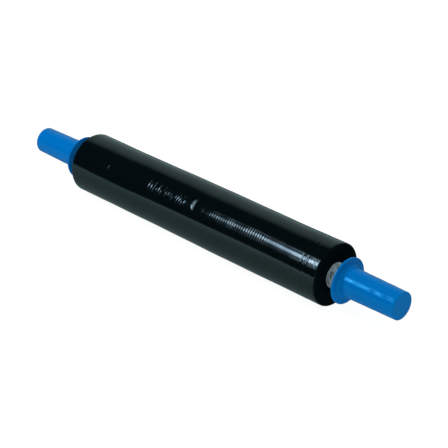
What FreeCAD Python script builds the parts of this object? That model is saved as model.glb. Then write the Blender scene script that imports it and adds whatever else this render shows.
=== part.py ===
import FreeCAD, Part
import math
import os

# A hand roll of stretch film with a hand grip on each end of its core. Millimetres.
# The roll lies on its side. X runs along its axis, Z is up, and the origin is on the table
# under the middle of the core, in the small flat that the roll's weight presses into the film.

# The wound film
FILM_WIDTH = 500.0
FILM_DIAMETER = 93.0
FILM_OFF_CENTRE = 1.0
FILM_EDGE_RADIUS = 1.8
FLAT_SPOT_WIDTH = 10.0

# The rings that the edges of the turns make on each end of the roll
END_RING_COUNT = 8
END_RING_DEPTH = 0.5
END_RING_RAMP = 0.7

# The shallow bands round the roll where the film is a little thinner
GAUGE_BAND_COUNT = 11
GAUGE_BAND_DEPTH = 0.15
GAUGE_BAND_RAMP = 6.0
GAUGE_BAND_MARGIN = 14.0

# The cardboard core, which runs through the film and into both grips
CORE_DIAMETER = 38.2
CORE_WALL = 2.8

# The hand grip: a moulded sleeve with a flange at its mouth and a closed outer end
GRIP_STANDOFF = 21.0
GRIP_LENGTH = 95.8
GRIP_ROOT_WALL = 2.05
GRIP_TIP_WALL = 1.25
GRIP_END_WALL = 2.0
GRIP_TIP_EDGE_RADIUS = 1.3
FLANGE_WIDTH = 12.4
FLANGE_THICKNESS = 2.8
FLANGE_RIM_RADIUS = 1.1
FLANGE_FILLET_RADIUS = 5.0
BORE_DRAFT = 0.4
MOUTH_CHAMFER = 1.0

# Fits
CORE_TO_FILM_GAP = 0.05
CORE_END_CLEARANCE = 0.3
GRIP_RUNNING_CLEARANCE = 0.08

film_radius = FILM_DIAMETER / 2
half_film = FILM_WIDTH / 2
core_radius = CORE_DIAMETER / 2
axis_height = math.sqrt(film_radius**2 - (FLAT_SPOT_WIDTH / 2) ** 2)
grip_mouth = half_film + GRIP_STANDOFF
grip_tip = grip_mouth + GRIP_LENGTH
bore_floor = grip_tip - GRIP_END_WALL
core_end = bore_floor - CORE_END_CLEARANCE

ON_AXIS = FreeCAD.Vector(0, 0, axis_height)
ALONG = FreeCAD.Vector(1, 0, 0)


def at(x, r):
    """The point at x along the roll and r out from its axis, in the section that is turned."""
    return FreeCAD.Vector(x, 0, axis_height + r)


def chain(points):
    """Straight edges through a run of (x, r) points."""
    return [Part.LineSegment(at(*a), at(*b)).toShape() for a, b in zip(points, points[1:])]


def arc(centre, radius, start_deg, end_deg):
    """An arc in the section; 0 degrees is along +X and 90 degrees is out from the axis."""
    turns = [math.radians(angle) for angle in (start_deg, (start_deg + end_deg) / 2, end_deg)]
    spots = [at(centre[0] + radius * math.cos(t), centre[1] + radius * math.sin(t)) for t in turns]
    return Part.Arc(*spots).toShape()


def turned(edges):
    """The solid that a closed section makes when it is turned once round the roll's axis."""
    face = Part.Face(Part.Wire(Part.sortEdges(edges)[0]))
    return face.revolve(ON_AXIS, ALONG, 360)


def end_rings():
    """(inset, radius) points of one end of the film, from its bore out to the rounded edge."""
    inner = core_radius + CORE_TO_FILM_GAP
    outer = film_radius - FILM_EDGE_RADIUS
    pitch = (outer - inner) / END_RING_COUNT
    points = []
    for ring in range(END_RING_COUNT):
        # The insets go through fifths of a cycle two at a time, and the outermost ring is flush.
        inset = END_RING_DEPTH * ((END_RING_COUNT - 1 - ring) * 2 % 5) / 4
        start = inner + ring * pitch
        points.append((inset, start + (END_RING_RAMP if ring else 0)))
        points.append((inset, start + pitch))
    return points


def gauge_bands():
    """(x, radius) points along the outside of the film, from one rounded edge to the other."""
    pitch = (FILM_WIDTH - 2 * GAUGE_BAND_MARGIN) / GAUGE_BAND_COUNT
    points = [(-half_film + FILM_EDGE_RADIUS, film_radius)]
    for band in range(GAUGE_BAND_COUNT):
        radius = film_radius - GAUGE_BAND_DEPTH * (band % 2)
        start = -half_film + GAUGE_BAND_MARGIN + band * pitch
        points.append((start + GAUGE_BAND_RAMP / 2, radius))
        points.append((start + pitch - GAUGE_BAND_RAMP / 2, radius))
    points.append((half_film - FILM_EDGE_RADIUS, film_radius))
    return points


def film_roll():
    """The wound film: a thick tube with ringed ends, shallow bands and the flat it lies on."""
    right = [(half_film - inset, radius) for inset, radius in end_rings()]
    left = [(-x, radius) for x, radius in right]
    corner_x = half_film - FILM_EDGE_RADIUS
    corner_r = film_radius - FILM_EDGE_RADIUS
    edges = chain(right) + chain(left) + chain([left[0], right[0]]) + chain(gauge_bands())
    edges.append(arc((corner_x, corner_r), FILM_EDGE_RADIUS, 0, 90))
    edges.append(arc((-corner_x, corner_r), FILM_EDGE_RADIUS, 90, 180))
    below = Part.makeBox(
        FILM_WIDTH, FILM_DIAMETER, film_radius, FreeCAD.Vector(-half_film, -film_radius, -film_radius)
    )
    film = turned(edges).cut(below)
    film.translate(FreeCAD.Vector(FILM_OFF_CENTRE, 0, 0))
    return film


def core_tube():
    """The cardboard tube: straight, cut square, and open at both ends."""
    inside = core_radius - CORE_WALL
    section = [(-core_end, inside), (-core_end, core_radius), (core_end, core_radius), (core_end, inside)]
    return turned(chain(section + section[:1]))


def hand_grip():
    """The right-hand grip, from its mouth near the film out to its closed tip."""
    bore_tip = core_radius + GRIP_RUNNING_CLEARANCE
    bore_mouth = bore_tip + BORE_DRAFT
    tip = bore_tip + GRIP_TIP_WALL
    root = bore_mouth + GRIP_ROOT_WALL
    rim = root + FLANGE_WIDTH
    front = grip_mouth + FLANGE_THICKNESS
    rim_r = rim - FLANGE_RIM_RADIUS
    fillet_x = front + FLANGE_FILLET_RADIUS
    fillet_r = root + FLANGE_FILLET_RADIUS
    tip_x = grip_tip - GRIP_TIP_EDGE_RADIUS
    tip_r = tip - GRIP_TIP_EDGE_RADIUS

    bore = [
        (bore_floor, 0),
        (bore_floor, bore_tip),
        (grip_mouth + MOUTH_CHAMFER, bore_mouth),
        (grip_mouth, bore_mouth + MOUTH_CHAMFER),
    ]
    edges = chain(bore + [(grip_mouth, rim_r)])
    edges.append(arc((grip_mouth + FLANGE_RIM_RADIUS, rim_r), FLANGE_RIM_RADIUS, 180, 90))
    edges += chain([(grip_mouth + FLANGE_RIM_RADIUS, rim), (front - FLANGE_RIM_RADIUS, rim)])
    edges.append(arc((front - FLANGE_RIM_RADIUS, rim_r), FLANGE_RIM_RADIUS, 90, 0))
    edges += chain([(front, rim_r), (front, fillet_r)])
    edges.append(arc((fillet_x, fillet_r), FLANGE_FILLET_RADIUS, 180, 270))
    edges += chain([(fillet_x, root), (tip_x, tip)])
    edges.append(arc((tip_x, tip_r), GRIP_TIP_EDGE_RADIUS, 90, 0))
    edges += chain([(grip_tip, tip_r), (grip_tip, 0), (bore_floor, 0)])
    return turned(edges)


grip = hand_grip()
nodes = {
    "film_roll": film_roll(),
    "core_tube": core_tube(),
    "grip_right": grip,
    "grip_left": grip.mirror(FreeCAD.Vector(0, 0, 0), ALONG),
}

os.makedirs("parts", exist_ok=True)
for name, shape in nodes.items():
    shape.Solids[0].exportStep(f"parts/{name}.step")
    print(f"{name}: {len(shape.Solids)} solid, valid {shape.isValid()}, {shape.Volume / 1000:.1f} cm3")
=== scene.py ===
# %% [markdown]
# # A hand roll of black stretch film
#
# The object is a roll of stretch film on a long cardboard core, with a blue moulded grip on each bare
# end of the core. Nearly everything on it was made by turning or winding round one axis, so this lesson
# builds each piece as a surface of revolution worked out with numpy, and then disturbs that surface as
# winding, cutting and moulding do. The frame gives the main sizes, so none of them is fitted by eye.

# %% Load the frame
import math

import bpy
import numpy as np
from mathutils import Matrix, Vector


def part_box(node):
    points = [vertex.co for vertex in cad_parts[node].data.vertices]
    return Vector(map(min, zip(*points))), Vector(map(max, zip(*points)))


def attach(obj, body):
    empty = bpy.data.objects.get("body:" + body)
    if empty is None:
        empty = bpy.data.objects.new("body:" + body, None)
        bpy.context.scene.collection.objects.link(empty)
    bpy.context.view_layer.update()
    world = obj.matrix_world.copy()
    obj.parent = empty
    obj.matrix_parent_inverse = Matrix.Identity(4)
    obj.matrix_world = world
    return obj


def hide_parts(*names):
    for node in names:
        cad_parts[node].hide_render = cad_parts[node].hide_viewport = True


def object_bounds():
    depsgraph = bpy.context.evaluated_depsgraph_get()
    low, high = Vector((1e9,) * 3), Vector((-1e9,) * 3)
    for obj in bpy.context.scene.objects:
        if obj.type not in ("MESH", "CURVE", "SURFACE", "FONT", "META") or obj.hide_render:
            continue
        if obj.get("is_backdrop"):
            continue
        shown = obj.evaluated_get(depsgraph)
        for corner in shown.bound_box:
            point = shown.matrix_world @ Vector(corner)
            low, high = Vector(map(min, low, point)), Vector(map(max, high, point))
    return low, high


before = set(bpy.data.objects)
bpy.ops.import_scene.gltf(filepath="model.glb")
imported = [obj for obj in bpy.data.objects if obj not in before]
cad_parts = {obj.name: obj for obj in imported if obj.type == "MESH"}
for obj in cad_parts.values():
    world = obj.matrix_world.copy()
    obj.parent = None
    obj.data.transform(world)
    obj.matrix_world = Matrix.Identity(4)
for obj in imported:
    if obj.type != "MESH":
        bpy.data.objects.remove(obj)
cad_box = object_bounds()

# %% [markdown]
# ## Sizes
#
# Blender works in metres and a maker of rolls in millimetres. A named constant turns one into the other.
# The main sizes are read off the frame's boxes: a box's width across the axis is a diameter, and its ends
# are where the piece stops. Only what a box can't tell, such as a wall, is written down here.

# %% Sizes of the roll, read from the frame
MM = 0.001


def span(node):
    """The lowest and highest x of a node, and its largest radius about the roll's axis, in metres."""
    low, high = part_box(node)
    return low.x, high.x, (high.y - low.y) / 2


film_left, film_right, film_radius = span("film_roll")
_, core_right, core_radius = span("core_tube")
grip_mouth, grip_tip, flange_radius = span("grip_right")
axis_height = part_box("film_roll")[1].z - film_radius
film_middle = (film_left + film_right) / 2
half_film = (film_right - film_left) / 2
print(f"film {2 * half_film / MM:.1f} x {2 * film_radius / MM:.1f} mm, axis {axis_height / MM:.2f} mm up")
print(f"core {2 * core_radius / MM:.1f} mm across, grip {(grip_tip - grip_mouth) / MM:.1f} mm long")

# %% [markdown]
# ## From a grid of points to a closed mesh
#
# Every piece is a profile carried once round the axis, so its points make a grid: a row for each point of
# the profile and a column for each angle. The columns always close on themselves. The rows close too
# when the profile is a loop, as on a tube. A grip has a closed end instead, where the profile starts and
# stops on the axis, and there each end gets one point and a fan of triangles. Closed this way, a mesh
# has no seam to crack and no pole with a hole in it.

# %% Mesh helpers
def turn(x, r, angle):
    """Points at x along the axis and r out from it: y is minus r cos(angle), z is r sin(angle) above it."""
    return np.stack(np.broadcast_arrays(x, -r * np.cos(angle), axis_height + r * np.sin(angle)), -1)


def grid_faces(rows, columns, rows_close):
    """Four-sided faces between neighbouring rows and columns; the columns, and maybe the rows, wrap."""
    row = np.arange(rows if rows_close else rows - 1)[:, None]
    column = np.arange(columns)[None, :]
    following, beside = (row + 1) % rows, (column + 1) % columns
    corners = [row * columns + column, row * columns + beside,
               following * columns + beside, following * columns + column]
    return np.stack([np.broadcast_to(c, corners[0].shape) for c in corners], -1).reshape(-1, 4)


def fan_faces(pole, first, columns, outward):
    """Triangles from one point on the axis to a ring of points that starts at index first."""
    column = np.arange(columns)
    ring = [first + column, first + (column + 1) % columns]
    pair = ring if outward else ring[::-1]
    return np.stack([np.full(columns, pole), *pair], -1)


def surface(name, points, uv, poles=()):
    """A smooth mesh from a grid of points (rows, columns, 3) with a UV map; poles closes both ends."""
    rows, columns = points.shape[:2]
    faces = grid_faces(rows, columns, rows_close=not len(poles)).tolist()
    vertices = points.reshape(-1, 3)
    uvs = uv.reshape(-1, 2)
    if len(poles):
        vertices = np.vstack([vertices, poles])
        uvs = np.vstack([uvs, [uv[0].mean(0), uv[-1].mean(0)]])
        faces += fan_faces(rows * columns, 0, columns, outward=False).tolist()
        faces += fan_faces(rows * columns + 1, (rows - 1) * columns, columns, outward=True).tolist()
    mesh = bpy.data.meshes.new(name)
    mesh.from_pydata(vertices.tolist(), [], faces)
    corner = np.empty(len(mesh.loops), int)
    mesh.loops.foreach_get("vertex_index", corner)
    mesh.uv_layers.new(name="surface").data.foreach_set("uv", uvs[corner].ravel())
    mesh.polygons.foreach_set("use_smooth", np.ones(len(mesh.polygons), bool))
    mesh.update()
    piece = bpy.data.objects.new(name, mesh)
    bpy.context.scene.collection.objects.link(piece)
    triangles = sum(len(polygon.vertices) - 2 for polygon in mesh.polygons)
    print(f"{name}: {len(mesh.vertices)} points, {triangles} triangles")
    return piece


def angles(count):
    """Angles once round the axis, as one row; 0 is towards the front and a quarter turn is up."""
    return np.linspace(0, 2 * np.pi, count, endpoint=False)[None, :]


def arc(centre, radius, start_deg, end_deg, steps):
    """Points (x, r) of a rounded edge; 0 degrees is along +X and 90 degrees is out from the axis."""
    t = np.radians(np.linspace(start_deg, end_deg, steps))
    return np.stack([centre[0] + radius * np.cos(t), centre[1] + radius * np.sin(t)], -1)


# %% [markdown]
# ## Unevenness
#
# Winding leaves nothing perfectly round. A sum of a few sine waves with seeded, slightly different
# lengths and directions gives a smooth unevenness that never repeats to the eye, closes on itself round
# the roll because each wave goes round a whole number of times, and is the same on every run.

# %% Seeded waves over a turned surface
def uneven(x, angle, wavelength, most_turns, seed, count=7):
    """Sines along x and a whole number of turns round the axis, added up and divided by the root of count.

    The result is mostly within -1.4 and 1.4, and with seven waves never past 2.7.
    """
    draw = np.random.default_rng(seed)
    total = 0
    for _ in range(count):
        length = wavelength * draw.uniform(0.7, 1.6)
        turns = draw.integers(-most_turns, most_turns + 1)
        phase = draw.uniform(0, 2 * np.pi)
        total = total + np.sin(2 * np.pi * x / length + turns * angle + phase)
    return total / math.sqrt(count)


def rise(value, low, high):
    """0 below low, 1 above high, and an S-shaped rise between them."""
    t = np.clip((value - low) / (high - low), 0, 1)
    return t * t * (3 - 2 * t)


def zone(x, start, stop, soft):
    """1 between start and stop and 0 outside; soft is half the length of the S-shape at each end."""
    return rise(x, start - soft, start + soft) * (1 - rise(x, stop - soft, stop + soft))


sample = uneven(np.linspace(film_left, film_right, 400)[:, None], angles(90), 90 * MM, 3, seed=11)
print(f"a sample of unevenness runs from {sample.min():.2f} to {sample.max():.2f}")

# %% [markdown]
# ## The wound film
#
# Three hundred metres of film less than two hundredths of a millimetre thick make a body that is smooth
# as glass from afar and full of small faults near by. The film stretches a little unevenly, so the roll
# has shallow bands where it is thinner. Air and tension leave fine ribs round it, a few millimetres
# apart and less than a tenth of a millimetre high, and knocks leave scuffs and dents that are deeper.
# The ribs can't be seen by themselves, but each tilts the mirror that the film makes, and a lamp then
# shows as a row of bright threads. Because that tilt is the whole effect, the ribs are real geometry
# here, and the grid is finest where they are.

# %% Sizes of the film's faults
FILM_EDGE_RADIUS = 1.8 * MM
CORE_TO_FILM_GAP = 0.05 * MM
BAND_COUNT = 11
BAND_DEPTH = 0.15 * MM
BAND_RAMP = 20 * MM
BAND_MARGIN = 14 * MM
END_RING_COUNT = 8
END_RING_DEPTH = 0.5 * MM
END_RING_RAMP = 0.7 * MM

# The real ribs are nearer 4 mm apart. They are drawn a little coarser, or the photo's pixels blur them.
RIB_PITCH = 4.5 * MM
RIB_HEIGHT = 0.062 * MM
RIB_HEIGHT_GAIN = 0.028 * MM
SCUFF_PITCH = 5.3 * MM
SCUFF_HEIGHT = 0.33 * MM
LUMP_HEIGHT = 0.22 * MM
WRINKLE_HEIGHT = 0.09 * MM
GROOVE_PLACES = (220.3 * MM, 229.5 * MM)
GROOVE_WIDTH = 1.3 * MM
GROOVE_DEPTH = 0.16 * MM

# Each zone is where it starts and stops, measured from the film's middle, and how soft its ends are.
RIBBED = (18 * MM, 148 * MM, 12 * MM)
SCUFFED = (-91 * MM, -7 * MM, 7 * MM)
SCUFFED_FAINTLY = (16 * MM, 32 * MM, 4 * MM)
WRINKLED = (222 * MM, 247 * MM, 2 * MM)

# The grid is finest under the ribs and scuffs, and middling under the end's wrinkles and the scratch.
FINE_ZONE = (-118 * MM, 158 * MM, 4 * MM)
END_ZONE = (200 * MM, 252 * MM, 6 * MM)
SCRATCH_ZONE = (-182 * MM, -168 * MM, 3 * MM)
FINE_SPACING = 0.43 * MM
MIDDLE_SPACING = 0.85 * MM
COARSE_SPACING = 3.0 * MM
FILM_COLUMNS = 112
END_FACE_ROWS = 26
print(f"a rib every {RIB_PITCH / MM:.1f} mm, and the grid's steps under it are {FINE_SPACING / MM:.2f} mm")


# %% The film's profile
def film_stations():
    """Places along the roll: x at even steps of about 1 in the running sum of dx / spacing."""
    x = np.linspace(-half_film + FILM_EDGE_RADIUS, half_film - FILM_EDGE_RADIUS, 4001)
    fine = zone(x, *FINE_ZONE)
    middle = zone(x, *END_ZONE) + zone(x, *SCRATCH_ZONE)
    per_metre = 1 / COARSE_SPACING
    per_metre = per_metre + (1 / MIDDLE_SPACING - per_metre) * np.clip(middle, 0, 1)
    per_metre = per_metre + (1 / FINE_SPACING - per_metre) * fine
    running = np.concatenate([[0], np.cumsum((per_metre[1:] + per_metre[:-1]) / 2 * np.diff(x))])
    return np.interp(np.linspace(0, running[-1], math.ceil(running[-1])), running, x)


def gauge_band(x):
    """How far the thinner bands lie below the full radius: 0 or the depth, with S-shaped ramps."""
    pitch = (2 * half_film - 2 * BAND_MARGIN) / BAND_COUNT
    place = (x + half_film - BAND_MARGIN) / pitch
    from_middle = np.abs((place - 0.5) % 2 - 1) * pitch
    inside = 1 - rise(from_middle, (pitch - BAND_RAMP) / 2, (pitch + BAND_RAMP) / 2)
    within = (place > 0.5) & (place < BAND_COUNT - 0.5)
    return BAND_DEPTH * inside * within


def end_inset(r):
    """How deep each ring of turns lies below the end: fifths of a cycle taken two at a time."""
    inner = core_radius + CORE_TO_FILM_GAP
    pitch = (film_radius - FILM_EDGE_RADIUS - inner) / END_RING_COUNT
    place = np.clip((r - inner) / pitch, 0, END_RING_COUNT - 1e-6)
    ring = np.floor(place)
    depth = END_RING_DEPTH * ((END_RING_COUNT - 1 - ring) * 2 % 5) / 4
    before = END_RING_DEPTH * ((END_RING_COUNT - ring) * 2 % 5) / 4
    ramp = np.where(ring > 0, np.clip((place - ring) * pitch / END_RING_RAMP, 0, 1), 1)
    return before + (depth - before) * ramp


face_radii = np.linspace(core_radius + CORE_TO_FILM_GAP, film_radius - FILM_EDGE_RADIUS, END_FACE_ROWS)
stations = film_stations()
right_face = np.stack([half_film - end_inset(face_radii), face_radii], -1)
corner = (half_film - FILM_EDGE_RADIUS, film_radius - FILM_EDGE_RADIUS)
right_edge = arc(corner, FILM_EDGE_RADIUS, 0, 90, 9)[1:-1]
outside = np.stack([stations[::-1], film_radius - gauge_band(stations[::-1])], -1)
mirrored = np.array([-1, 1])
profile = np.vstack([
    right_face,
    right_edge,
    outside,
    right_edge[::-1] * mirrored,
    right_face[::-1] * mirrored,
])
print(f"{len(stations)} places along the film, {len(profile)} points in the profile")

# %% [markdown]
# The faults are written as separate small functions of the place along the roll and the angle round it,
# each a height in metres above the plain roll, and added up. That way each one can be judged alone.

# %% The film's faults as heights
def lumps(x, angle):
    """Slow flats and swells along the roll, a few tenths of a millimetre high."""
    return LUMP_HEIGHT * uneven(x, angle, 230 * MM, 4, seed=5)


def wander(x, angle):
    """A slow drift in the spacing of the ribs and scuffs, in radians of their waves."""
    return 0.9 * uneven(x, angle, 90 * MM, 3, seed=11)


def above_front(angle):
    """1 on the strip that faces forwards and up, where hands and straps rub, and 0 round the rest."""
    return zone(angle, math.radians(32), math.radians(62), math.radians(8))


def ribs(x, angle):
    """Fine regular rings right of the middle: sin(2 pi x / pitch), higher in patches and to the right."""
    patches = rise(uneven(x, angle, 26 * MM, 22, seed=23), -0.6, 0.9)
    wave = np.sin(2 * np.pi * x / RIB_PITCH + wander(x, angle)) * (0.45 + 0.55 * patches)
    height = RIB_HEIGHT + RIB_HEIGHT_GAIN * rise(x, 30 * MM, 85 * MM)
    return height * zone(x, *RIBBED) * wave * (0.4 + 0.6 * above_front(angle))


def scuffs(x, angle):
    """Narrow ridges that cross one another left of the curved dent, and a few faint ones right of it.

    Each has the section exp(2.5 (cos(phase) - 1)), and the phase swings round the roll.
    """
    phase = 2 * np.pi * x / SCUFF_PITCH + 5 * np.sin(3 * angle) + 3 * wander(x, angle)
    narrow = np.exp(2.5 * (np.cos(phase) - 1))
    loose = rise(uneven(x, angle, 14 * MM, 26, seed=29), -1.6, 0.7)
    worn = zone(x, *SCUFFED) + 0.25 * zone(x, *SCUFFED_FAINTLY)
    return SCUFF_HEIGHT * worn * narrow * loose * above_front(angle)


def end_wrinkles(x, angle):
    """Two grooves and short wrinkles beside the right end, where the film is pulled in as it is wound."""
    patches = rise(uneven(x, angle, 12 * MM, 18, seed=31), -0.8, 0.4)
    wave = uneven(x, angle, 8 * MM, 22, seed=37, count=4)
    wrinkled = zone(x, *WRINKLED) * patches
    grooves = sum(np.exp(-(((x - place) / GROOVE_WIDTH) ** 2)) for place in GROOVE_PLACES)
    return WRINKLE_HEIGHT * wrinkled * wave - GROOVE_DEPTH * grooves


def ridge(x, angle, at_x, at_deg, below_deg, above_deg, lean, bend, width, height):
    """One crease: a rounded ridge, or a dent, that runs below_deg and above_deg away from at_deg.

    Its middle line is at at_x and moves along the roll by lean * t + bend * t^2, where t counts tens of
    degrees. Across that line the height falls off as exp(-(x / width)^2), and along it as
    exp(-1.5 share^3.6), where share is how far round it is as a share of below_deg or above_deg.
    """
    away = np.degrees(angle) - at_deg
    middle = at_x + lean * away / 10 + bend * (away / 10) ** 2
    share = np.abs(away) / np.where(away > 0, above_deg, below_deg)
    return height * np.exp(-(((x - middle) / width) ** 2)) * np.exp(-1.5 * share**3.6)


def creases(x, angle):
    """The curved dent at the middle and the short scratch towards the left end."""
    dent = ridge(x, angle, at_x=10.5 * MM, at_deg=44, below_deg=10.2, above_deg=13.1,
                 lean=-0.65 * MM, bend=2.2 * MM, width=4.8 * MM, height=-1.07 * MM)
    scratch = ridge(x, angle, at_x=-173.5 * MM, at_deg=40, below_deg=9, above_deg=9,
                    lean=1.1 * MM, bend=0, width=1.7 * MM, height=-0.5 * MM)
    return dent + scratch


for fault in (lumps, ribs, scuffs, end_wrinkles, creases):
    heights = fault(stations[:, None], angles(FILM_COLUMNS))
    print(f"{fault.__name__}: {heights.min() / MM:.2f} to {heights.max() / MM:.2f} mm")

# %% [markdown]
# The roll lies on its side, and film is soft, so its own weight presses a narrow flat along the bottom.
# Lifting every point that would be under the table up to it makes that flat in one line.

# %% Build the film
def film_points(profile, angle):
    """The profile carried round the axis, with the faults added on the outside and the flat pressed in."""
    x, r = profile[:, :1], profile[:, 1:]
    share = (r / film_radius) ** 2
    away_from_ends = zone(x, -half_film + 5 * MM, half_film - 5 * MM, 4 * MM)
    on_outside = away_from_ends * (r > film_radius - BAND_DEPTH * 1.01)
    faults = ribs(x, angle) + scuffs(x, angle) + end_wrinkles(x, angle) + creases(x, angle)
    points = turn(x + film_middle, r + share * lumps(x, angle) + on_outside * faults, angle)
    points[..., 2] = np.maximum(points[..., 2], 0)
    return points


def surface_uv(profile, angle, radius):
    """U is the distance along the profile and V the distance round the given radius, in metres."""
    steps = np.hypot(*np.diff(profile, axis=0).T)
    along = np.concatenate([[0], np.cumsum(steps)])[:, None]
    return np.stack(np.broadcast_arrays(along, angle * radius), -1)


film_angle = angles(FILM_COLUMNS)
film_uv = surface_uv(profile, film_angle, film_radius)
film = surface("wound_film", film_points(profile, film_angle), film_uv)

# %% [markdown]
# ## Materials
#
# A material starts from what the real one is. Colours are written as hex values, as a colour card gives
# them, and one function turns them into the linear numbers that the shader needs. One more function adds
# a node, sets its values and makes its links, so that each material reads as a short list of what it is.

# %% Material helpers
def linear(hex_colour):
    """An sRGB hex colour as linear red, green, blue and alpha."""
    parts = np.array([int(hex_colour[i:i + 2], 16) for i in (1, 3, 5)]) / 255
    curve = np.where(parts <= 0.04045, parts / 12.92, ((parts + 0.055) / 1.055) ** 2.4)
    return (*curve.tolist(), 1.0)


def add(material, kind, settings=None, **inputs):
    """Adds a node; settings are its own properties, and inputs are values or sockets to link from.

    An input is given by its name with _ for each space, or as _ and its number, such as _6.
    """
    tree = material.node_tree
    node = tree.nodes.new(kind)
    for name, value in (settings or {}).items():
        setattr(node, name, value)
    for name, value in inputs.items():
        key = int(name[1:]) if name[0] == "_" else name.replace("_", " ")
        if isinstance(value, bpy.types.NodeSocket):
            tree.links.new(value, node.inputs[key])
        else:
            node.inputs[key].default_value = value
    return node


def new_material(name):
    """An empty node material and its output node."""
    material = bpy.data.materials.new(name)
    material.use_nodes = True
    material.node_tree.nodes.clear()
    return material, material.node_tree.nodes.new("ShaderNodeOutputMaterial")


def finish_material(material, output, shader):
    """Joins the shader to the material's output and says what was made."""
    material.node_tree.links.new(shader.outputs[0], output.inputs["Surface"])
    print(f"{material.name}: {len(material.node_tree.nodes)} nodes")
    return material


print(f"half grey, #808080, is {linear('#808080')[0]:.3f} in linear light")

# %% [markdown]
# ### Black stretch film
#
# Stretch film is linear low-density polyethylene, here coloured black and blown or cast into a very
# smooth sheet. Wound on a roll it is black glass: the body gives back almost no light, and what the eye
# sees is the room in it. It is a little less bright a mirror than solid plastic, because air lies between
# the turns. The draw of the film leaves lines round the roll that are too fine and shallow to model, so
# they are bump, stretched out along V and close together along U. Handling leaves patches of haze about
# three centimetres across, and these only change the gloss.

# %% The film's outside
# Real draw lines are some tenths of a millimetre apart; these are drawn coarser, to be seen at all.
DRAW_LINE_SPACING = 0.9 * MM
DRAW_LINE_LENGTH = 60 * MM
HAZE_PATCHES_PER_METRE = 35.0


def stretch_film():
    """Glossy black polyethylene with fine draw lines round the roll."""
    material, output = new_material("black_polyethylene_stretch_film")
    uv = add(material, "ShaderNodeUVMap", {"uv_map": "surface"})
    stretched = add(material, "ShaderNodeMapping", Vector=uv.outputs[0],
                    Scale=(1 / DRAW_LINE_SPACING, 1 / DRAW_LINE_LENGTH, 1))
    lines = add(material, "ShaderNodeTexNoise", Vector=stretched.outputs[0], Scale=1.0, Detail=2.0)
    bump = add(material, "ShaderNodeBump", Height=lines.outputs[0], Strength=0.25, Distance=0.02 * MM)
    haze = add(material, "ShaderNodeTexNoise", Vector=uv.outputs[0], Scale=HAZE_PATCHES_PER_METRE,
               Detail=3.0)
    gloss = add(material, "ShaderNodeMapRange", Value=haze.outputs[0], To_Min=0.09, To_Max=0.14)
    shader = add(material, "ShaderNodeBsdfPrincipled", Base_Color=linear("#01090B"),
                 Roughness=gloss.outputs[0], IOR=1.5, Specular_IOR_Level=0.44, Normal=bump.outputs[0])
    return finish_material(material, output, shader)


# %% [markdown]
# ### The ends of the turns
#
# At the ends the eye looks at more than a thousand cut film edges, one above the other. Light gets lost
# between them, so the ends are a soft near-black with faint rings. The rings' distance from the axis is
# worked out from the object's own coordinates, and a noise over that one number draws them.

# %% The film's ends
# A turn is less than two hundredths of a millimetre thick, so each ring drawn here stands for many.
TURN_RING_SPACING = 0.6 * MM


def film_edges():
    """Matt near-black of stacked film edges with faint rings about the axis."""
    material, output = new_material("black_polyethylene_cut_edges")
    place = add(material, "ShaderNodeTexCoord").outputs["Object"]
    across = add(material, "ShaderNodeVectorMath", {"operation": "SUBTRACT"},
                 _0=place, _1=(0, 0, axis_height))
    flat = add(material, "ShaderNodeVectorMath", {"operation": "MULTIPLY"},
               _0=across.outputs[0], _1=(0, 1, 1))
    radius = add(material, "ShaderNodeVectorMath", {"operation": "LENGTH"}, _0=flat.outputs[0])
    rings = add(material, "ShaderNodeTexNoise", {"noise_dimensions": "1D"}, W=radius.outputs["Value"],
                Scale=1 / TURN_RING_SPACING, Detail=3.0)
    bump = add(material, "ShaderNodeBump", Height=rings.outputs[0], Strength=0.5, Distance=0.08 * MM)
    tone = add(material, "ShaderNodeMix", {"data_type": "RGBA"}, Factor=rings.outputs[0],
               _6=linear("#020A0D"), _7=linear("#081417"))
    shader = add(material, "ShaderNodeBsdfPrincipled", Base_Color=tone.outputs[2], Roughness=0.6,
                 IOR=1.5, Specular_IOR_Level=0.0, Normal=bump.outputs[0])
    return finish_material(material, output, shader)


film.data.materials.append(stretch_film())
film.data.materials.append(film_edges())
face_rows = np.zeros(len(profile), int)
face_rows[:END_FACE_ROWS] = 1
face_rows[-END_FACE_ROWS - 1:] = 1
film.data.polygons.foreach_set("material_index", np.repeat(face_rows, FILM_COLUMNS))
film.data.update()
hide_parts("film_roll")
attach(film, "roll")

# %% [markdown]
# ## The cardboard core
#
# A core is wound from strips of grey board glued together along a helix. The outermost strip's edges
# meet in a butt joint that runs round the tube as a shallow groove. The tube here is a closed loop
# profile: out along the outside, round the cut end, back along the bore. A cylinder cut along a helix
# would look the same, but a dip worked out by a formula keeps the mesh a plain grid: it lies wherever the
# distance along the tube, less the helix's advance, comes back to a whole strip. The outside as a whole
# lies a hair lower than the box says, clear of the film and the grips.

# %% Build the core
CORE_WALL = 2.8 * MM
CORE_CUT_RADIUS = 0.3 * MM
STRIP_ADVANCE = 62 * MM
JOINT_START = 0.31
JOINT_WIDTH = 0.8 * MM
JOINT_DEPTH = 0.18 * MM
OUTSIDE_INSET = 0.02 * MM
CORE_COLUMNS = 96


def core_profile():
    """A loop of (x, r): the outside from right to left, and the bore from left to right."""
    bore = core_radius - CORE_WALL
    bare = np.linspace(half_film - 2 * MM, grip_tip - 4 * MM, 150)
    under = np.linspace(-half_film + 4 * MM, half_film - 4 * MM, 12)
    x = np.concatenate([-bare[::-1], under, bare])[::-1]
    outside = np.stack([x, np.full(len(x), core_radius)], -1)
    cut = core_right - CORE_CUT_RADIUS
    outer_right = arc((cut, core_radius - CORE_CUT_RADIUS), CORE_CUT_RADIUS, 0, 90, 4)
    inner_right = arc((cut, bore + CORE_CUT_RADIUS), CORE_CUT_RADIUS, 270, 360, 4)
    right = np.vstack([inner_right, outer_right])
    return np.vstack([right, outside, right[::-1] * mirrored])


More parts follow.
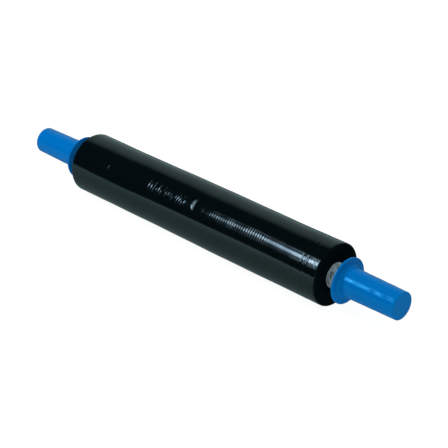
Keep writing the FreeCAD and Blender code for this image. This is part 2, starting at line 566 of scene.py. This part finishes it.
def core_joint(x, angle):
    """Depth of the groove: greatest where x less the helix's advance is a whole strip."""
    strip = ((x - STRIP_ADVANCE * angle / (2 * np.pi)) / STRIP_ADVANCE + JOINT_START) % 1
    distance = np.minimum(strip, 1 - strip) * STRIP_ADVANCE
    return JOINT_DEPTH * np.exp(-((distance / JOINT_WIDTH) ** 2))


core_loop = core_profile()
core_angle = angles(CORE_COLUMNS)
core_x, core_r = core_loop[:, :1], core_loop[:, 1:]
on_top = core_r > core_radius - 0.01 * MM
core_r = core_r - on_top * (core_joint(core_x, core_angle) + OUTSIDE_INSET)
core_uv = surface_uv(core_loop, core_angle, core_radius)
core = surface("spiral_wound_core", turn(core_x, core_r, core_angle), core_uv)

# %% [markdown]
# ### Grey board
#
# Core board is recycled paper: grey, a little blue in the photo's cool light, and soft to look at, with
# fibres that lie along the strip and small pale flecks. The flecks come from one noise and the fibres
# from another that is drawn out along the helix, by turning the UV map through the helix's angle before
# it is stretched.

# %% The core's board
# Real fibres and flecks are finer; these stand for clumps of them, as large as the photo can show.
FIBRE_LENGTH = 14 * MM
FIBRE_WIDTH = 3.2 * MM
FLECK_SIZE = 3.0 * MM
HELIX_ANGLE = math.atan2(STRIP_ADVANCE, 2 * math.pi * core_radius)


def grey_board():
    """Uncoated recycled board with fibres along the helix and scattered flecks."""
    material, output = new_material("recycled_grey_core_board")
    uv = add(material, "ShaderNodeUVMap", {"uv_map": "surface"})
    turned = add(material, "ShaderNodeVectorRotate", Vector=uv.outputs[0], Angle=HELIX_ANGLE)
    drawn = add(material, "ShaderNodeMapping", Vector=turned.outputs[0],
                Scale=(1 / FIBRE_WIDTH, 1 / FIBRE_LENGTH, 1))
    fibres = add(material, "ShaderNodeTexNoise", Vector=drawn.outputs[0], Scale=1.0, Detail=4.0)
    flecks = add(material, "ShaderNodeTexNoise", Vector=uv.outputs[0], Scale=1 / FLECK_SIZE, Detail=3.0)
    spread = add(material, "ShaderNodeMapRange", Value=fibres.outputs[0], From_Min=0.36, From_Max=0.64)
    board = add(material, "ShaderNodeMix", {"data_type": "RGBA"}, Factor=spread.outputs[0],
                _6=linear("#2B4550"), _7=linear("#A0B4BA"))
    dots = add(material, "ShaderNodeMapRange", Value=flecks.outputs[0], From_Min=0.58, From_Max=0.7)
    tone = add(material, "ShaderNodeMix", {"data_type": "RGBA"}, Factor=dots.outputs[0],
               _6=board.outputs[2], _7=linear("#C9CFCB"))
    bump = add(material, "ShaderNodeBump", Height=fibres.outputs[0], Strength=0.6, Distance=0.12 * MM)
    shader = add(material, "ShaderNodeBsdfPrincipled", Base_Color=tone.outputs[2], Roughness=0.85,
                 IOR=1.45, Specular_IOR_Level=0.3, Normal=bump.outputs[0])
    return finish_material(material, output, shader)


core.data.materials.append(grey_board())
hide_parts("core_tube")
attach(core, "roll")

# %% [markdown]
# ## The hand grips
#
# Each grip is one injection moulding: a sleeve that turns on the core, closed at its outer end, with a
# flange that keeps the hand off the film. Its profile starts on the axis at the outer face, runs over the
# rounded tip and along the sleeve, up the fillet, round the flange, and back inside along the bore. Every
# edge that looks sharp has a small radius, because that radius is what catches the light. A row of points
# a few tenths of a millimetre inside such an edge keeps the smooth shading of the flat face beside it
# flat. A Spin of a drawn outline would give the same form, but this profile takes its sizes from the
# frame. The moulding sinks a little as it cools, which a slight waviness stands for: it breaks up the
# line of light along the sleeve. The left grip is the same profile turned the other way.

# %% Sizes of the grip
GRIP_ROOT_WALL = 2.05 * MM
GRIP_TIP_WALL = 1.25 * MM
GRIP_END_WALL = 2.0 * MM
GRIP_TIP_EDGE_RADIUS = 1.3 * MM
FLANGE_THICKNESS = 2.8 * MM
FLANGE_RIM_RADIUS = 1.1 * MM
FLANGE_FILLET_RADIUS = 5.0 * MM
BORE_DRAFT = 0.4 * MM
MOUTH_CHAMFER = 1.0 * MM
GRIP_RUNNING_CLEARANCE = 0.08 * MM
GRIP_SINK = 0.06 * MM
GRIP_COLUMNS = 128

# How far inside an edge the rows lie that keep a flat face flat, and the ring that each pole closes
TIP_HOLD = 0.15 * MM
RIM_HOLD = 0.2 * MM
BORE_HOLD = 0.3 * MM
POLE_RING = 1.5 * MM
print(f"sleeve walls {GRIP_ROOT_WALL / MM:.2f} mm at the flange and {GRIP_TIP_WALL / MM:.2f} mm at the tip")

# %% Build the grips
def grip_profile():
    """(x, r) from the axis at the outer face, over the outside, round the flange and back up the bore."""
    bore_tip = core_radius + GRIP_RUNNING_CLEARANCE
    bore_mouth = bore_tip + BORE_DRAFT
    tip, root = bore_tip + GRIP_TIP_WALL, bore_mouth + GRIP_ROOT_WALL
    front = grip_mouth + FLANGE_THICKNESS
    floor = grip_tip - GRIP_END_WALL
    tip_x, tip_r = grip_tip - GRIP_TIP_EDGE_RADIUS, tip - GRIP_TIP_EDGE_RADIUS
    fillet = (front + FLANGE_FILLET_RADIUS, root + FLANGE_FILLET_RADIUS)
    rim_r = flange_radius - FLANGE_RIM_RADIUS
    end_face = [(grip_tip, r) for r in np.linspace(POLE_RING, tip_r - TIP_HOLD, 10)]
    along = np.linspace(0.02, 0.98, 60)
    sleeve = np.stack([tip_x + (fillet[0] - tip_x) * along, tip + (root - tip) * along], -1)
    bore_x = np.linspace(grip_mouth + MOUTH_CHAMFER + BORE_HOLD, floor - BORE_HOLD, 8)
    bore_r = np.interp(bore_x, [grip_mouth + MOUTH_CHAMFER, floor], [bore_mouth, bore_tip])
    return np.vstack([
        end_face,
        arc((tip_x, tip_r), GRIP_TIP_EDGE_RADIUS, 0, 90, 8),
        sleeve,
        arc(fillet, FLANGE_FILLET_RADIUS, 270, 180, 14),
        [(front, fillet[1] + RIM_HOLD), (front, rim_r - RIM_HOLD)],
        arc((front - FLANGE_RIM_RADIUS, rim_r), FLANGE_RIM_RADIUS, 0, 90, 7),
        arc((grip_mouth + FLANGE_RIM_RADIUS, rim_r), FLANGE_RIM_RADIUS, 90, 180, 7),
        [(grip_mouth, rim_r - RIM_HOLD), (grip_mouth, bore_mouth + MOUTH_CHAMFER + RIM_HOLD)],
        [(grip_mouth, bore_mouth + MOUTH_CHAMFER), (grip_mouth + MOUTH_CHAMFER, bore_mouth)],
        np.stack([bore_x, bore_r], -1),
        [(floor, bore_tip), (floor, bore_tip - BORE_HOLD), (floor, POLE_RING)],
    ])


def grip(name, side, seed):
    """One grip; side is 1 for the right and -1 for the left, where it turns the profile round."""
    loop = grip_profile()
    x, r = loop[:, :1], loop[:, 1:]
    angle = angles(GRIP_COLUMNS) * side
    outer = (r > core_radius + 1.2 * MM) * zone(x, grip_mouth + 12 * MM, grip_tip - 5 * MM, 4 * MM)
    sink = GRIP_SINK * uneven(x, angle, 21 * MM, 5, seed=seed)
    points = turn(side * x, r + outer * sink, angle)
    poles = turn(side * np.array([grip_tip, grip_tip - GRIP_END_WALL]), 0, 0)
    return surface(name, points, surface_uv(loop, np.abs(angle), core_radius), poles=poles)


grip_right = grip("hand_grip_right", 1, seed=3)
grip_left = grip("hand_grip_left", -1, seed=8)

# %% [markdown]
# ### Blue moulded polypropylene
#
# The grips are a soft, slightly waxy blue polypropylene, moulded in a polished tool that has worn to a
# satin finish. The colour goes right through, so handling shows only as finer and coarser gloss. The
# gloss follows a slow noise, and a fine one under it keeps the highlight from looking like glass. In the
# photo even the highlight is blue. White gloss would pale the plastic, so the gloss is tinted and weak,
# and a small metallic share helps it, because a metal's highlight takes its base colour.

# %% The grips' plastic
# The real grain is about a tenth of a millimetre, too fine to be seen, so it is drawn coarser.
MOULD_GRAIN = 0.5 * MM
HANDLING_PATCH = 14 * MM


def blue_polypropylene():
    """Satin moulded polypropylene, coloured through."""
    material, output = new_material("moulded_blue_polypropylene")
    place = add(material, "ShaderNodeTexCoord").outputs["Object"]
    patches = add(material, "ShaderNodeTexNoise", Vector=place, Scale=1 / HANDLING_PATCH, Detail=3.0)
    gloss = add(material, "ShaderNodeMapRange", Value=patches.outputs[0], To_Min=0.08, To_Max=0.13)
    tone = add(material, "ShaderNodeMix", {"data_type": "RGBA"}, Factor=patches.outputs[0],
               _6=linear("#006FB8"), _7=linear("#0074C1"))
    grain = add(material, "ShaderNodeTexNoise", Vector=place, Scale=1 / MOULD_GRAIN, Detail=2.0)
    bump = add(material, "ShaderNodeBump", Height=grain.outputs[0], Strength=0.15, Distance=0.05 * MM)
    shader = add(material, "ShaderNodeBsdfPrincipled", Base_Color=tone.outputs[2],
                 Roughness=gloss.outputs[0], Metallic=0.05, IOR=1.49, Specular_IOR_Level=0.2,
                 Specular_Tint=linear("#80FFE6"), Normal=bump.outputs[0])
    return finish_material(material, output, shader)


grip_plastic = blue_polypropylene()
for piece, node in ((grip_right, "grip_right"), (grip_left, "grip_left")):
    piece.data.materials.append(grip_plastic)
    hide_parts(node)
    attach(piece, node)

# %% [markdown]
# ## The table
#
# A gloss-black roll shows whatever stands round it, so the studio is part of its look. The lower half
# of the roll mirrors the table, and the table's far edge draws the sharp line between grey and black.
# The roll in the photo mirrors a table of middling grey, while the ground about it is nearly white, as
# in a catalogue. So the table is two sheets: a pale one that the camera sees and that throws soft light
# back on the roll, and a grey one that only mirrors see. The grey one carries a painted shadow: its
# colour is darkest close to the roll, where the roll keeps the light off it, and painted shade dims it
# behind the roll. A black card lies on its front left, and lowers the line between grey and black at
# that end. A pale wall stands far off all round, so that a low camera has no black behind the table,
# and nothing but the camera sees it.

# %% The table
TABLE_CORNERS = [(-9, -9), (9, -9), (9, 9), (-9, 9)]
SHEET_GAP = 0.1 * MM
CARD_CORNER = (-0.727, -0.718)
CARD_LENGTH = 10
CARD_WIDTH = 5


def sheet(name, height, corners=TABLE_CORNERS):
    """A flat four-sided sheet that throws no shadow, and its material without a shader."""
    mesh = bpy.data.meshes.new(name)
    mesh.from_pydata([(x, y, height) for x, y in corners], [], [(0, 1, 2, 3)])
    flat = bpy.data.objects.new(name, mesh)
    flat.visible_shadow = False
    bpy.context.scene.collection.objects.link(flat)
    material, output = new_material(name)
    mesh.materials.append(material)
    flat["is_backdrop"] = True
    return flat, material, output


def pale_table():
    """White that glows enough to hide nearly all of the shadow; mirrors don't see it."""
    flat, material, output = sheet("pale_table", 0)
    flat.visible_glossy = False
    shader = add(material, "ShaderNodeBsdfPrincipled", Base_Color=linear("#666868"), Roughness=0.9,
                 Specular_IOR_Level=0.0, Emission_Color=linear("#FFFFFF"), Emission_Strength=0.95)
    finish_material(material, output, shader)


def mirrored_table():
    """Grey with a green-blue cast for mirrors alone, in painted shadow: darkest at the roll, dim behind."""
    flat, material, output = sheet("mirrored_table", -SHEET_GAP)
    flat.visible_camera = False
    flat.visible_diffuse = False
    place = add(material, "ShaderNodeTexCoord").outputs["Object"]
    across = add(material, "ShaderNodeSeparateXYZ", Vector=place).outputs["Y"]
    # Painted shadow: darkest under the roll, and paler in front as |y| to the power 0.4 grows.
    distance = add(material, "ShaderNodeMath", {"operation": "ABSOLUTE"}, _0=across)
    painted_shadow_rise = add(material, "ShaderNodeMath", {"operation": "POWER"}, _0=distance.outputs[0], _1=0.4)
    # Painted shade behind the roll: the grey falls from 0.79 to 0.31 over the first 0.15 m behind it.
    behind = add(material, "ShaderNodeMapRange", Value=across, From_Min=0.0, From_Max=0.15,
                 To_Min=0.79, To_Max=0.31)
    painted_shadow_level = add(material, "ShaderNodeMath", {"operation": "MULTIPLY", "use_clamp": True},
                _0=painted_shadow_rise.outputs[0], _1=behind.outputs[0])
    tone = add(material, "ShaderNodeMix", {"data_type": "RGBA"}, Factor=painted_shadow_level.outputs[0],
               _6=linear("#000000"), _7=linear("#DAFFFF"))
    shader = add(material, "ShaderNodeBsdfPrincipled", Base_Color=tone.outputs[2], Roughness=0.9,
                 Specular_IOR_Level=0.0)
    finish_material(material, output, shader)


def black_card():
    """A black card at the front left that only mirrors see, lying just above the mirrored table."""
    near = np.array(CARD_CORNER)
    forwards, aside = np.array([-0.567, -0.823]), np.array([-0.823, 0.567])
    away, wide = CARD_LENGTH * forwards, CARD_WIDTH * aside
    corners = [near, near + away, near + away + wide, near + wide]
    flat, material, output = sheet("black_card", -SHEET_GAP / 2, corners)
    flat.visible_camera = False
    flat.visible_diffuse = False
    shader = add(material, "ShaderNodeBsdfPrincipled", Base_Color=linear("#06090A"), Roughness=0.9,
                 Specular_IOR_Level=0.0)
    finish_material(material, output, shader)


pale_table()
mirrored_table()
black_card()

# %% The wall behind the table
WALL_RADIUS = 8.5
WALL_HEIGHT = 7.0
WALL_SIDES = 96


def wall():
    """A tall ring of flat faces round the table that glows white and that only the camera's rays meet."""
    t = np.linspace(0, 2 * np.pi, WALL_SIDES, endpoint=False)
    rings = [np.stack([WALL_RADIUS * np.cos(t), WALL_RADIUS * np.sin(t), np.full(WALL_SIDES, z)], -1)
             for z in (0, WALL_HEIGHT)]
    mesh = bpy.data.meshes.new("pale_wall")
    mesh.from_pydata(np.vstack(rings).tolist(), [], grid_faces(2, WALL_SIDES, rows_close=False).tolist())
    ring = bpy.data.objects.new("pale_wall", mesh)
    bpy.context.scene.collection.objects.link(ring)
    ring.visible_glossy = ring.visible_diffuse = ring.visible_shadow = False
    material, output = new_material("pale_wall")
    shader = add(material, "ShaderNodeEmission", Color=linear("#FFFFFF"), Strength=1.0)
    mesh.materials.append(finish_material(material, output, shader))
    ring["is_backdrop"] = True


wall()

# %% [markdown]
# ## The light
#
# A softbox stands in front and above. Its bright middle makes the core of the streak in the film, and its
# left edge ends the streak part way along, so that beyond it only the ribs and dents still catch it. Its
# lamp is brighter still, and shows white in the wrinkles at the film's right end. The left half has a dim
# skirt, a dark line and a thin rim, and the taller right half draws the long threads on the ribs.
#
# A panel behind makes the grey band along the top, and the film is black wherever it mirrors nothing. A
# wide panel overhead gives the even light that the board and the plastic are seen by. The mirrors don't
# see that one, and the panel behind is seen by mirrors alone, so each can be set by itself.

# %% The lights
def area_light(name, stand, up, width, height, radiance, colour):
    """A rectangle of light on a stand, which is a place, a tilt and a yaw; up moves it along its own Y.

    Tilt 0 shines straight down, a positive tilt swings the beam to the back, and yaw turns it about Z.
    """
    place, tilt_deg, yaw_deg = stand
    light = bpy.data.lights.new(name, "AREA")
    light.shape = "RECTANGLE"
    light.size, light.size_y = width, height
    light.energy = radiance * width * height * math.pi
    light.color = colour
    lamp = bpy.data.objects.new(name, light)
    lamp.rotation_euler = (math.radians(tilt_deg), 0, math.radians(yaw_deg))
    lamp.location = Vector(place) + lamp.rotation_euler.to_matrix() @ Vector((0, up, 0))
    lamp.visible_camera = False
    bpy.context.scene.collection.objects.link(lamp)
    print(f"{name}: {1000 * width:.0f} x {1000 * height:.0f} mm, {light.energy:.2f} W")
    return lamp


SOFTBOX_Y = -0.75
SOFTBOX_Z = 0.85
SOFTBOX_TILT_DEG = 43


def softbox(name, middle_x, up, width, height, radiance, colour):
    """One rectangle of the softbox's front; all of them lie in one plane and none overlaps another."""
    stand = ((middle_x, SOFTBOX_Y, SOFTBOX_Z), SOFTBOX_TILT_DEG, 0)
    area_light(name, stand, up, width, height, radiance, colour)


BLUISH = (0.53, 0.78, 1.0)
PALE_BLUE = (0.62, 0.83, 1.0)
GREEN_BLUE = (0.55, 0.84, 1.0)
softbox("softbox_middle", -0.5595, -0.045, 0.121, 0.183, 15.8, BLUISH)
softbox("softbox_lamp", -0.471, -0.045, 0.056, 0.183, 37, PALE_BLUE)
softbox("softbox_beyond", -0.3665, -0.045, 0.153, 0.183, 11.5, BLUISH)
softbox("softbox_skirt", -0.545, -0.279, 0.15, 0.285, 1.7, BLUISH)
softbox("softbox_shade", -0.545, 0.117, 0.15, 0.14, 0.5, BLUISH)
softbox("softbox_rim", -0.545, 0.225, 0.15, 0.07, 3.4, BLUISH)
softbox("softbox_below", -0.36, -0.233, 0.22, 0.193, 5.5, GREEN_BLUE)
softbox("softbox_above", -0.36, 0.151, 0.22, 0.209, 6, GREEN_BLUE)

BACK = ((-0.9, 1.789, 0.99), -47, 18)
GREENISH = (0.68, 0.98, 1.0)
back_panel = area_light("back_panel", BACK, 0.215, 3.6, 2.29, 0.42, GREENISH)
back_edge = area_light("back_panel_edge", BACK, -1.095, 3.6, 0.33, 0.24, GREENISH)
back_panel.visible_diffuse = back_edge.visible_diffuse = False

OVERHEAD = ((0.7, -0.3, 2.2), 0, 0)
area_light("overhead_panel", OVERHEAD, 0, 3.6, 3.6, 1.8, (0.96, 0.99, 1.0)).visible_glossy = False

# %% The surroundings
def surroundings():
    """Dark all round, so that the film is black where it mirrors neither a light nor the table."""
    world = bpy.data.worlds.new("studio")
    bpy.context.scene.world = world
    world.use_nodes = True
    tree = world.node_tree
    tree.nodes.clear()
    dark = tree.nodes.new("ShaderNodeBackground")
    dark.inputs["Color"].default_value = linear("#FFFFFF")
    dark.inputs["Strength"].default_value = 0.02
    output = tree.nodes.new("ShaderNodeOutputWorld")
    tree.links.new(dark.outputs[0], output.inputs["Surface"])
    print(f"{world.name}: strength {dark.inputs['Strength'].default_value:.2f}")


surroundings()
bpy.context.scene.view_settings.view_transform = "Standard"

# %% [markdown]
# ## The camera
#
# The photo was taken from in front, to the right and above, with a long lens from about two metres. The
# camera is placed by those angles and that distance about the middle of the film, then moved sideways
# and down a little, as the photographer framed it.

# %% The camera
AZIMUTH_DEG = 44.54
ELEVATION_DEG = 28.45
DISTANCE = 2.1639
STEP_RIGHT = 0.02605
STEP_UP = -0.01382
LENS_MM = 118.39


def camera():
    """A camera turned by azimuth about Z and lifted by elevation, looking along its own line of sight."""
    azimuth, elevation = math.radians(AZIMUTH_DEG), math.radians(ELEVATION_DEG)
    back = np.array([math.sin(azimuth) * math.cos(elevation), -math.cos(azimuth) * math.cos(elevation),
                     math.sin(elevation)])
    right = np.array([math.cos(azimuth), math.sin(azimuth), 0])
    up = np.cross(back, right)
    middle = np.array([film_middle, 0, axis_height])
    lens = bpy.data.cameras.new("photo_view")
    lens.lens, lens.sensor_width, lens.clip_end = LENS_MM, 36, 60
    view = bpy.data.objects.new("photo_view", lens)
    view.location = middle + back * DISTANCE + right * STEP_RIGHT + up * STEP_UP
    view.rotation_euler = (math.pi / 2 - elevation, 0, azimuth)
    bpy.context.scene.collection.objects.link(view)
    bpy.context.scene.camera = view
    return view


print("camera at", [round(v, 3) for v in camera().location])

# %% [markdown]
# ## The two boxes
#
# The dressed part has to be as large as its solids, to within a millimetre. So the box round the visible
# pieces is measured once more, and printed beside the box that was measured at the start.

# %% Print the two boxes and finish
boxes = {"cad": cad_box, "visual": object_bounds()}
for name, (low, high) in boxes.items():
    print(name, "box in mm:", [round(side / MM, 1) for side in high - low])
